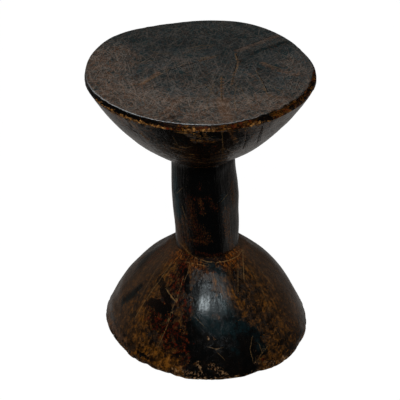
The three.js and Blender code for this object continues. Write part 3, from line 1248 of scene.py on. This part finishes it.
DARK_CUTS = """
0.5 0.9: 175,191 179,186.5
0.6 0.9: 180,206 183,212 184,217
0.45 0.8: 184,204 187,211
0.5 0.9: 220,200 225,195
0.6 0.9: 141,129 150,137
0.6 0.9: 157,129 162,135 167,141
0.9 0.9: 129,123 133,128
0.4 0.7: 148,122 156,132
0.4 0.6: 112,112 120,121
0.5 0.8: 163,130 168,137
0.35 0.6: 137,133 146,143
0.35 0.6: 150,141 158,149
0.5 0.7: 247,126 246,136 247,146
0.45 0.7: 263,124 262,132 260,140
0.35 0.5: 252,128 251,138
0.35 0.5: 273,116 270,126
"""
tan_scratches = [(*stroke, seen) for stroke in read_strokes(TAN_SCRATCHES)]
for _ in range(26):
    start = dice.uniform(5, 175)
    height = dice.uniform(20, 100)
    fall = dice.uniform(8, 36)
    drift = dice.uniform(-7, 7)
    bend = (start + drift * 0.6, height - fall * 0.5)
    stops = [(start, height), bend, (start + drift, max(4, height - fall))]
    tan_scratches.append((stops, dice.uniform(0.35, 0.75), dice.uniform(0.3, 0.8), around))
dark_lines = [(stops, 0.5, 1.0, seen) for stops in seat_stops + side_stops]
dark_lines += [(*stroke, seen) for stroke in read_strokes(DARK_CUTS)]
dark_lines += [(stops, 0.55, 1.0, around) for stops in back_stops]
print(len(tan_scratches), "pale scratches and", len(dark_lines), "dark lines")

# %% Draw them as distances
REACH = 5.0  # how far from a line its corners know of it, in millimetres
TOO_SHORT = 1e-7


def draw(lines):
    """Each corner's signed distance to the nearest line, that line's half width and its strength."""
    best = np.full(len(corners), REACH)
    field = np.zeros((len(corners), 3))
    field[:, 0] = REACH
    for stops, wide, strength, place in lines:
        path = route(stops, place)
        for start, end in zip(path, path[1:]):
            along = end - start
            length = np.linalg.norm(along)
            if length < TOO_SHORT:
                continue
            along /= length
            close = np.linalg.norm(corners - (start + end) / 2, axis=1) < REACH * MM + length
            here = corners[close]
            t = np.clip((here - start) @ along, 0, length)
            gap = here - start - t[:, None] * along
            away = np.linalg.norm(gap, axis=1) / MM
            across = np.cross(along, normals[close])
            signed = np.where((gap * across).sum(axis=1) < 0, -away, away)
            nearer = away < best[close]
            chosen = np.flatnonzero(close)[nearer]
            best[chosen] = away[nearer]
            field[chosen, 0] = signed[nearer]
            field[chosen, 1] = wide
            field[chosen, 2] = strength * (1 - ease(away[nearer], REACH * 0.55, REACH * 0.95))
    return field


scratch_field = draw(tan_scratches)
crack_field = draw(dark_lines)
print("corners beside a scratch:", int((scratch_field[:, 2] > 0).sum()))


# %% Keep the fields on the mesh
def keep(name, values):
    """Stores one number, or three, for each corner."""
    kind, slot = ("FLOAT_VECTOR", "vector") if values.ndim > 1 else ("FLOAT", "value")
    stool.data.attributes.new(name, kind, "POINT").data.foreach_set(slot, values.ravel())


for name, values in tones.items():
    keep(name, values)
keep("scratch", scratch_field)
keep("crack", crack_field)
keep("rim", rim_highlight_and_shade)
# The grain runs up the block. On this copy of the surface, unrolled onto a cylinder, it is the third number.
GRAIN_RADIUS = 60
turn = np.radians(angle)
unrolled = np.stack([GRAIN_RADIUS * np.cos(turn), GRAIN_RADIUS * np.sin(turn), up_the_side], axis=1)
keep("grain", unrolled * MM)
for name in ("turned_radius", "turned_height"):
    stool.data.attributes.remove(stool.data.attributes[name])
print("attributes:", [a.name for a in stool.data.attributes if not a.name.startswith(".")])

# %% [markdown]
# ## The tools of the finish
# Several effects come back on every part of the stool: ragged patches, thin lines, hair-fine scratches that
# cross each other, and the wood's own grain. Each is a shader node group, made once and set by its inputs.

# %% Ragged patches
bench, given, result = new_group(
    "ragged_patch",
    {"Field": "value", "Place": "vector", "Size": "value", "Ragged": "value", "Soft": "value"},
    ["Mask"],
)
torn = (bench.noise(given["Place"], given["Size"], 6.0, 0.7, 0.35) - 0.5) * (given["Ragged"] * 4.0)
drawn = bench.step(given["Field"] + torn, 0.5 - given["Soft"], given["Soft"] + 0.5)
bench.put(result["Mask"], drawn * bench.step(given["Field"], 0.02, 0.16))
ragged_patch = bench.tree

# %% Thin lines
bench, given, result = new_group(
    "thin_line", {"Line": "vector", "Place": "vector", "Wobble": "value"}, ["Mask"]
)
line = bench.axes(given["Line"])  # the distance to it, its half width and its strength
offset = line["X"] + (bench.noise(given["Place"], 260.0, 2.0) - 0.5) * given["Wobble"]
breaks = bench.noise(given["Place"], 420.0, 2.0, 0.6)
away = abs(offset) / (line["Y"] * bench.spread(breaks, 0.35, 1.6))
pressed = line["Z"] * bench.step(breaks, 0.28, 0.52)
bench.put(result["Mask"], (1.0 - bench.step(away, 0.5, 1.35)) * pressed)
thin_line = bench.tree

# %% Hair-fine scratches that cross each other
SCRATCH_TURNS = (0.1, 0.6, 0.95, 1.35, -0.5, -1.0, -1.4)
SCRATCH_LONG = (20.0, 1.0, 1.0)

bench, given, result = new_group(
    "fine_scratches", {"Place": "vector", "Size": "value", "Amount": "value"}, ["Pale", "Dark"]
)
layers = []
for number, turn_by in enumerate(SCRATCH_TURNS):
    shift = (0.37 * number, 0.11 * number, 0.0)
    place = bench.stretch(given["Place"], SCRATCH_LONG, (0.0, 0.0, turn_by), shift)
    layers.append(bench.noise(place, given["Size"], 1.0, 0.5))
pale = dark = layers[0]
for layer in layers[1:]:
    pale = bench.larger(pale, layer)
    dark = bench.math("MINIMUM", dark, layer)
bar = 0.8 - given["Amount"] * 0.15
bench.put(result["Pale"], bench.step(pale, bar, bar + 0.08))
bench.put(result["Dark"], bench.step(1.0 - dark, bar, bar + 0.08))
fine_scratches = bench.tree

# %% The grain of the block
bench, given, result = new_group(
    "wood_grain", {"Grain": "vector", "Size": "value"}, ["Fibre", "Pores"]
)
fibre = bench.noise(bench.stretch(given["Grain"], (1.0, 1.0, 14.0)), given["Size"], 4.0, 0.65, 0.3)
pores = bench.noise(bench.stretch(given["Grain"], (1.0, 1.0, 7.0)), given["Size"] * 2.6, 2.0)
bench.put(result["Fibre"], fibre)
bench.put(result["Pores"], bench.step(pores, 0.62, 0.74))
wood_grain = bench.tree

# %% [markdown]
# ## The finishes
# One recipe serves every part, because it is one piece of wood: a dark ground with its grain, then soot, rust
# and worn patches, then streaks, scratches, raw chips and cracks, each with its own roughness and height.
# The parts differ in how much of each they have, so each part is a short list of amounts.

# %% Colours of the wood
SOOT_BLACK = (0.0011, 0.0015, 0.0016, 1)
GRIT_BLACK = (0.0020, 0.0010, 0.0007, 1)
CHAR_DARK = (0.0050, 0.0032, 0.0024, 1)
CHAR_BROWN = (0.0230, 0.0090, 0.0035, 1)
SOOT_BLUE = (0.0050, 0.0140, 0.0160, 1)
# Teal of the stem, partly a painted tint of the reflection along its edges.
STEM_TEAL_AND_SHEEN = (0.0090, 0.0300, 0.0360, 1)
BARK_DARK = (0.0060, 0.0032, 0.0020, 1)
BARK_BROWN = (0.0320, 0.0130, 0.0040, 1)
WORN_BROWN = (0.0300, 0.0115, 0.0018, 1)
WORN_ORANGE = (0.1900, 0.0650, 0.0070, 1)
RUST_RED = (0.1000, 0.0090, 0.0020, 1)
STEM_RED = (0.0800, 0.0150, 0.0050, 1)
STREAK_BROWN = (0.1850, 0.0900, 0.0480, 1)
SPECK_BROWN = (0.1500, 0.0640, 0.0300, 1)
SPECK_TEAL = (0.0120, 0.0340, 0.0360, 1)
# Dust, and the painted sheen on the dome's outlines.
DUST_AND_SHEEN_BROWN = (0.1500, 0.0880, 0.0560, 1)
SCRATCH_TAN = (0.3000, 0.1650, 0.0600, 1)
SCRATCH_PALE = (0.4000, 0.3000, 0.2400, 1)
FLECK_TAN = (0.3000, 0.1250, 0.0380, 1)
RAW_WOOD = (0.3400, 0.1800, 0.0760, 1)
RAW_SHADE = (0.0900, 0.0350, 0.0100, 1)
BEAD_WOOD = (0.4600, 0.2050, 0.0550, 1)
# Haze colours: dust, and a painted sheen.
HAZE_SHEEN_BROWN = (0.1350, 0.1080, 0.0930, 1)
HAZE_SHEEN_GREY = (0.0820, 0.1060, 0.1150, 1)
# The painted highlight along the lip's edge.
PAINTED_HIGHLIGHT_GREY = (0.5500, 0.5500, 0.5600, 1)
SLATE = (0.0360, 0.0480, 0.0520, 1)
SLATE_DARK = (0.0190, 0.0240, 0.0240, 1)
RING_TONES = ((0.0240, 0.0060, 0.0010, 1), (0.2500, 0.0640, 0.0050, 1))
STEM_TONES = (WORN_BROWN, (0.0950, 0.0330, 0.0090, 1))
# Worn tones of the bowl: real amber wear, painted about twice as bright as the dome's to stand in for light
# that hardly reaches the bowl's underside.
BOWL_TONES_BRIGHTENED = ((0.0700, 0.0260, 0.0080, 1), (0.4200, 0.2000, 0.0550, 1))
print("the brightest tone reflects", max(PAINTED_HIGHLIGHT_GREY[:3]), "of the light")

# %% The usual amounts
# Sizes are noise scales, in waves to the metre.
FIBRE_SIZE = 520.0
TINT_SIZE = 340.0
CHIP_SIZE = 330.0
PIT_SIZE = 260.0
STREAK_SIZE = 240.0
SPECK_SIZE = 560.0
LIP_SIZE = 130.0
DUST_SIZE = 70.0
DUST_CLOUD_SIZE = 26.0
DUST_LONG = (1.5, 1.0, 1.0)
OIL_IOR = 1.38
# A part's own amounts take the place of these.
USUAL = {
    "ground": (BARK_DARK, BARK_BROWN),
    "tones": (WORN_BROWN, WORN_ORANGE),  # of the worn places
    "red": RUST_RED,
    "teal": SOOT_BLUE,
    "gloss": (0.3, 0.4),  # the roughness where it is glossiest and dullest
    "shine": 0.5,
    "upright": True,  # the patches run with the grain
    "tall": 1.8,  # and are this much longer that way
    "patch_size": 200.0,
    "soft": 0.1,  # how soft the worn patches' edges are
    "grit_size": 300.0,
    "fleck_size": 420.0,
    "pitted": 0.75,
    "bared": False,  # the soot is rubbed off the worn places
    "speck": 0.0,
    "fine_size": 520.0,
    "fine_colour": WORN_ORANGE,
    "pale": 0.7,
    "cuts": 0.75,
    "raw_size": 360.0,
    "raw_tone": RAW_WOOD,
}


# %% The recipe
def wood_finish(name, own):
    """A finish of the oiled wood: the usual amounts of each effect, but for the part's own."""
    part = SimpleNamespace(**USUAL | own)
    material = bpy.data.materials.new(name)
    material.use_nodes = True
    shader = next(n for n in material.node_tree.nodes if n.type == "BSDF_PRINCIPLED")
    bench = Bench(material.node_tree)
    place = bench.node("ShaderNodeTexCoord")["Object"]
    along = bench.field("grain", "Vector")
    drawn_out = bench.stretch(along, (1.0, 1.0, part.tall)) if part.upright else place
    strands = bench.stretch(along, (1.0, 1.0, 3.5)) if part.upright else place
    across = bench.stretch(along, turn=(0.0, math.pi / 2, 0.0)) if part.upright else place
    harsh = (4.0, 0.7) if part.upright else (5.0, 0.8)  # detail and roughness of the fine noise
    grain = bench.group(wood_grain, Grain=along, Size=FIBRE_SIZE)
    haze_and_sheen = bench.field("haze_and_sheen")

    def patch(tone, size, ragged, soft=0.1, least=0.0, where=drawn_out):
        """Where a tone lies, with torn edges."""
        tone = bench.larger(bench.field(tone), least)
        return bench.group(ragged_patch, Field=tone, Place=where, Size=size, Ragged=ragged, Soft=soft)["Mask"]

    def lay(share, colour, over, strength=1.0):
        """Covers a colour with another one where the share says."""
        return bench.mix(bench.math("MULTIPLY", share, strength, clamp=True), over, colour)

    def drawn(name, wobble):
        """A mask of the lines that a field of the mesh keeps."""
        return bench.group(thin_line, Line=bench.field(name, "Vector"), Place=place, Wobble=wobble)["Mask"]

    # The ground, cloudy at two sizes, and its dust, which also carries the painted sheen of the haze field.
    clouds = bench.noise(drawn_out, part.patch_size * 0.6, 6.0, 0.68, 0.4)
    colour = bench.mix(bench.step(clouds, 0.36, 0.64), *part.ground)
    dust_and_sheen = bench.noise(bench.stretch(place, DUST_LONG, turn=(0.0, 0.0, 0.2)), DUST_SIZE, 8.0, 0.8, 0.4)
    dust_and_sheen = bench.spread(bench.step(dust_and_sheen, 0.32, 0.68), 0.15, 1.7)
    dust_clouds = bench.stretch(place, DUST_LONG, shift=(0.3, 0.1, 0.0))
    dust_clouds = bench.noise(dust_clouds, DUST_CLOUD_SIZE, 4.0, 0.65)
    browner = bench.step(haze_and_sheen + bench.spread(dust_clouds, -0.6, 0.6), 0.2, 0.75)
    colour = lay(haze_and_sheen * dust_and_sheen, bench.mix(browner, HAZE_SHEEN_GREY, HAZE_SHEEN_BROWN), colour)

    # Worn places, rust and soot, one over the other.
    worn = patch("worn", part.patch_size * 1.2, 0.6, part.soft, part.worn)
    tints = bench.step(bench.noise(strands, TINT_SIZE, *harsh, 0.2), 0.42, 0.62)
    colour = lay(worn, bench.mix(tints, *part.tones), colour, 0.95)
    rust = patch("rust", part.patch_size * 1.4, 0.85)
    rust_clouds = bench.step(bench.noise(drawn_out, TINT_SIZE, *harsh), 0.48, 0.64)
    colour = lay(rust, bench.mix(rust_clouds, GRIT_BLACK, part.red), colour, 0.95)
    soot = patch("soot", part.patch_size, 0.6, 0.09, part.soot)
    if part.bared:
        soot = soot * bench.spread(bench.larger(worn, rust), 1.0, 0.04)
    colour = lay(soot, SOOT_BLACK, colour, 0.96)
    colour = lay(patch("blue", part.patch_size * 0.8, 0.7, 0.5), part.teal, colour, part.blue)

    # Dark grit in every hollow, pale flecks, and streaks.
    grit = bench.step(bench.noise(drawn_out, part.grit_size, *harsh), 0.5, 0.6)
    colour = lay(grit, GRIT_BLACK, colour, part.grit)
    fleck_noise = bench.noise(drawn_out, part.fleck_size, *harsh)
    bare = bench.math("SUBTRACT", worn, bench.larger(soot * 0.9, rust * 0.45), clamp=True)
    colour = lay(bench.step(fleck_noise, 0.56, 0.62) * bare, FLECK_TAN, colour, 0.45)
    colour = lay(bench.step(fleck_noise, 0.45, 0.37), GRIT_BLACK, colour, part.pitted)
    if part.speck:
        elsewhere = bench.stretch(place, turn=(0.0, 0.0, 0.35), shift=(0.21, 0.13, 0.0))
        specks = bench.group(fine_scratches, Place=elsewhere, Size=SPECK_SIZE, Amount=1.3)
        colour = lay(specks["Dark"], SPECK_TEAL, colour, part.speck)
        colour = lay(specks["Pale"] * bench.spread(haze_and_sheen, 0.15, 1.0), SPECK_BROWN, colour, part.speck)
    streak = patch("streak", STREAK_SIZE, 0.8, 0.16) * bench.step(bench.field("streak"), 0.1, 1.0)
    patchy = bench.spread(bench.step(fleck_noise, 0.38, 0.62), 0.3, 1.0)
    colour = lay(streak * patchy, STREAK_BROWN, colour)
    fibre = bench.spread(grain["Fibre"], 0.3, 1.7)
    shade = bench.node("ShaderNodeCombineColor", {0: fibre, 1: fibre, 2: fibre})[0]
    colour = bench.mix(0.8, colour, shade, "MULTIPLY")

    # Fine scratches, single scratches and raw chips.
    marks = bench.group(fine_scratches, Place=across, Size=part.fine_size, Amount=part.fine)
    pale_marks = marks["Pale"] * bench.spread(soot, 1.0, 0.0)
    if part.speck:
        pale_marks = pale_marks * bench.spread(haze_and_sheen, 0.3, 1.0)
    colour = lay(pale_marks, part.fine_colour, colour, part.pale)
    colour = lay(marks["Dark"], SOOT_BLACK, colour, part.cuts)
    scratch = drawn("scratch", 0.9)
    colour = lay(scratch, SCRATCH_TAN, colour, 0.75)
    raw = patch("raw", part.raw_size, 0.85, 0.12, where=place)
    raw_clouds = bench.noise(place, CHIP_SIZE, 4.0, 0.7)
    colour = lay(raw, bench.mix(bench.step(raw_clouds, 0.42, 0.6), RAW_SHADE, part.raw_tone), colour)

    # The lip: a painted shade line under it and a painted highlight line on its rubbed edge. Then dust with a
    # painted sheen, and the cracks over all.
    rim = bench.axes(bench.field("rim", "Vector"))
    from_edge = rim["X"] + (bench.noise(place, LIP_SIZE, 3.0, 0.6) - 0.5) * 2.4
    # Painted shade: a black line just under the lip, where it overhangs the band.
    shaded = bench.step(abs(from_edge + 0.5), 0.9, 0.4) * rim["Z"]
    colour = lay(shaded, SOOT_BLACK, colour, 0.9)
    # Painted highlight: a pale line along the rubbed edge of the lip, which is also made less rough.
    rubbed = bench.step(abs(from_edge - 0.7), 0.85, 0.3) * rim["Y"]
    rubbed = rubbed * bench.spread(bench.step(raw_clouds, 0.38, 0.54), 0.3, 1.0)
    colour = lay(rubbed, PAINTED_HIGHLIGHT_GREY, colour, 0.95)
    # Dust on the dome's flanks, which also paints the sheen along both outlines.
    colour = lay(bench.field("dust_and_sheen") * bench.spread(clouds, 0.5, 1.4), DUST_AND_SHEEN_BROWN, colour, 0.4)
    crack = drawn("crack", 0.8)
    colour = lay(crack, SOOT_BLACK, colour, 0.85)
    bench.put(shader.inputs["Base Color"], colour)

    # Soot is glossy with oil, and worn and raw wood is dull.
    rough = bench.spread(clouds, *part.gloss) - soot * 0.05 + worn * 0.08 + grit * 0.1
    rough = rough + bench.field("dull") * 0.3 + raw * 0.3 + crack * 0.4
    rough = bench.math("SUBTRACT", rough, rubbed * 0.12, clamp=True)
    bench.put(shader.inputs["Roughness"], rough)

    # Heights in millimetres.
    pits = bench.noise(bench.stretch(strands, (1.0, 1.0, 1.4)), PIT_SIZE, 3.0, 0.5)
    height = grain["Fibre"] * 0.08 - grain["Pores"] * 0.03 - marks["Pale"] * 0.04 - marks["Dark"] * 0.05
    height = height - grit * 0.03 + pits * part.pits - scratch * 0.08 - crack * 0.4 - raw * 0.15
    height = height - raw * bench.spread(raw_clouds, 0.5, 0.0)
    bump = bench.node("ShaderNodeBump", {"Height": height, "Strength": 1.0, "Distance": MM})[0]
    bench.put(shader.inputs["Normal"], bump)
    bench.put(shader.inputs["IOR"], OIL_IOR)
    bench.put(shader.inputs["Specular IOR Level"], part.shine)
    return material


# %% The finish of each part
BOWL = {"soot": 0.42, "blue": 0.8, "worn": 0.1, "grit": 0.7, "fine": 1.1, "pits": 0.45, "fine_size": 620.0}
BOWL |= {"ground": (CHAR_DARK, BARK_BROWN)}
DOME = {"blue": 0.75, "grit": 0.9, "fine": 0.55, "pits": 0.26, "soft": 0.36}
LEVEL = {"upright": False, "fleck_size": 600.0, "pitted": 0.25}
PARTS = {
    "seat_finish": LEVEL
    | {"soot": 0, "blue": 0.7, "worn": 0, "grit": 0.25, "fine": 1.25, "pits": 0.1}
    | {"ground": (SLATE_DARK, SLATE), "gloss": (0.34, 0.5), "patch_size": 110.0, "grit_size": 520.0}
    | {"fine_size": 760.0, "fine_colour": SCRATCH_PALE, "speck": 0.75, "cuts": 0.4, "pale": 0.48},
    "bowl_finish": BOWL | {"gloss": (0.17, 0.31), "patch_size": 190.0, "tones": BOWL_TONES_BRIGHTENED, "bared": True},
    "stem_finish": {"soot": 0.45, "blue": 1.0, "worn": 0.1, "grit": 0.6, "fine": 0.3, "pits": 0.7}
    | {"ground": (CHAR_DARK, CHAR_BROWN), "gloss": (0.22, 0.34), "patch_size": 330.0, "fine_size": 620.0}
    | {"tones": STEM_TONES, "red": STEM_RED, "teal": STEM_TEAL_AND_SHEEN, "tall": 0.9, "bared": True},
    "dome_finish": DOME | {"soot": 0.12, "worn": 0.34, "gloss": (0.17, 0.29), "patch_size": 210.0},
    "under_finish": LEVEL
    | {"soot": 0.1, "blue": 0.2, "worn": 0.3, "grit": 0.5, "fine": 0.2, "pits": 1.0, "patch_size": 60.0}
    | {"ground": (BARK_BROWN, WORN_BROWN), "gloss": (0.6, 0.8), "fine_colour": WORN_BROWN},
    "band_finish": BOWL
    | {"soot": 0.1, "blue": 0.4, "worn": 0.0, "fine": 0.4, "shine": 0.15, "patch_size": 300.0}
    | {"raw_size": 190.0, "raw_tone": BEAD_WOOD},
    "ring_finish": DOME
    | {"soot": 0.1, "blue": 0.8, "worn": 0.5, "shine": 0.15, "patch_size": 240.0, "tall": 0.8}
    | {"tones": RING_TONES},
}
for name, own in PARTS.items():
    stool.data.materials.append(wood_finish(name, own))
print(len(stool.data.materials), "finishes")


# %% Give each face its finish
def faces_where(values):
    """Faces most of whose corners have the value."""
    return np.array([np.mean([values[v] for v in p.vertices]) > 0.5 for p in stool.data.polygons])


ring_corners = is_dome & (turned_height > 99 + 8 * bumps(5, 21, 3))
order = list(PARTS)
slots = np.full(len(stool.data.polygons), order.index("bowl_finish"))
for name, corners_of_part in (
    ("dome_finish", is_dome),
    ("stem_finish", is_stem),
    ("seat_finish", is_seat),
    ("under_finish", is_under),
    ("band_finish", on_band > 0.5),
    ("ring_finish", ring_corners),
):
    slots[faces_where(corners_of_part)] = order.index(name)
stool.data.polygons.foreach_set("material_index", slots.astype(np.int32))
stool.data.update()
print("faces of each finish:", dict(zip(order, np.bincount(slots).tolist())))

# %% Smooth the faces, and keep the sharp corners sharp
deselect_all()
stool.select_set(True)
bpy.context.view_layer.objects.active = stool
bpy.ops.object.shade_smooth_by_angle(angle=math.radians(48))
stool.data.calc_loop_triangles()
print("triangles:", len(stool.data.loop_triangles))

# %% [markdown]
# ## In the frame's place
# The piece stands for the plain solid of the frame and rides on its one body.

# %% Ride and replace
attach(stool, "root")
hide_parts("stool")
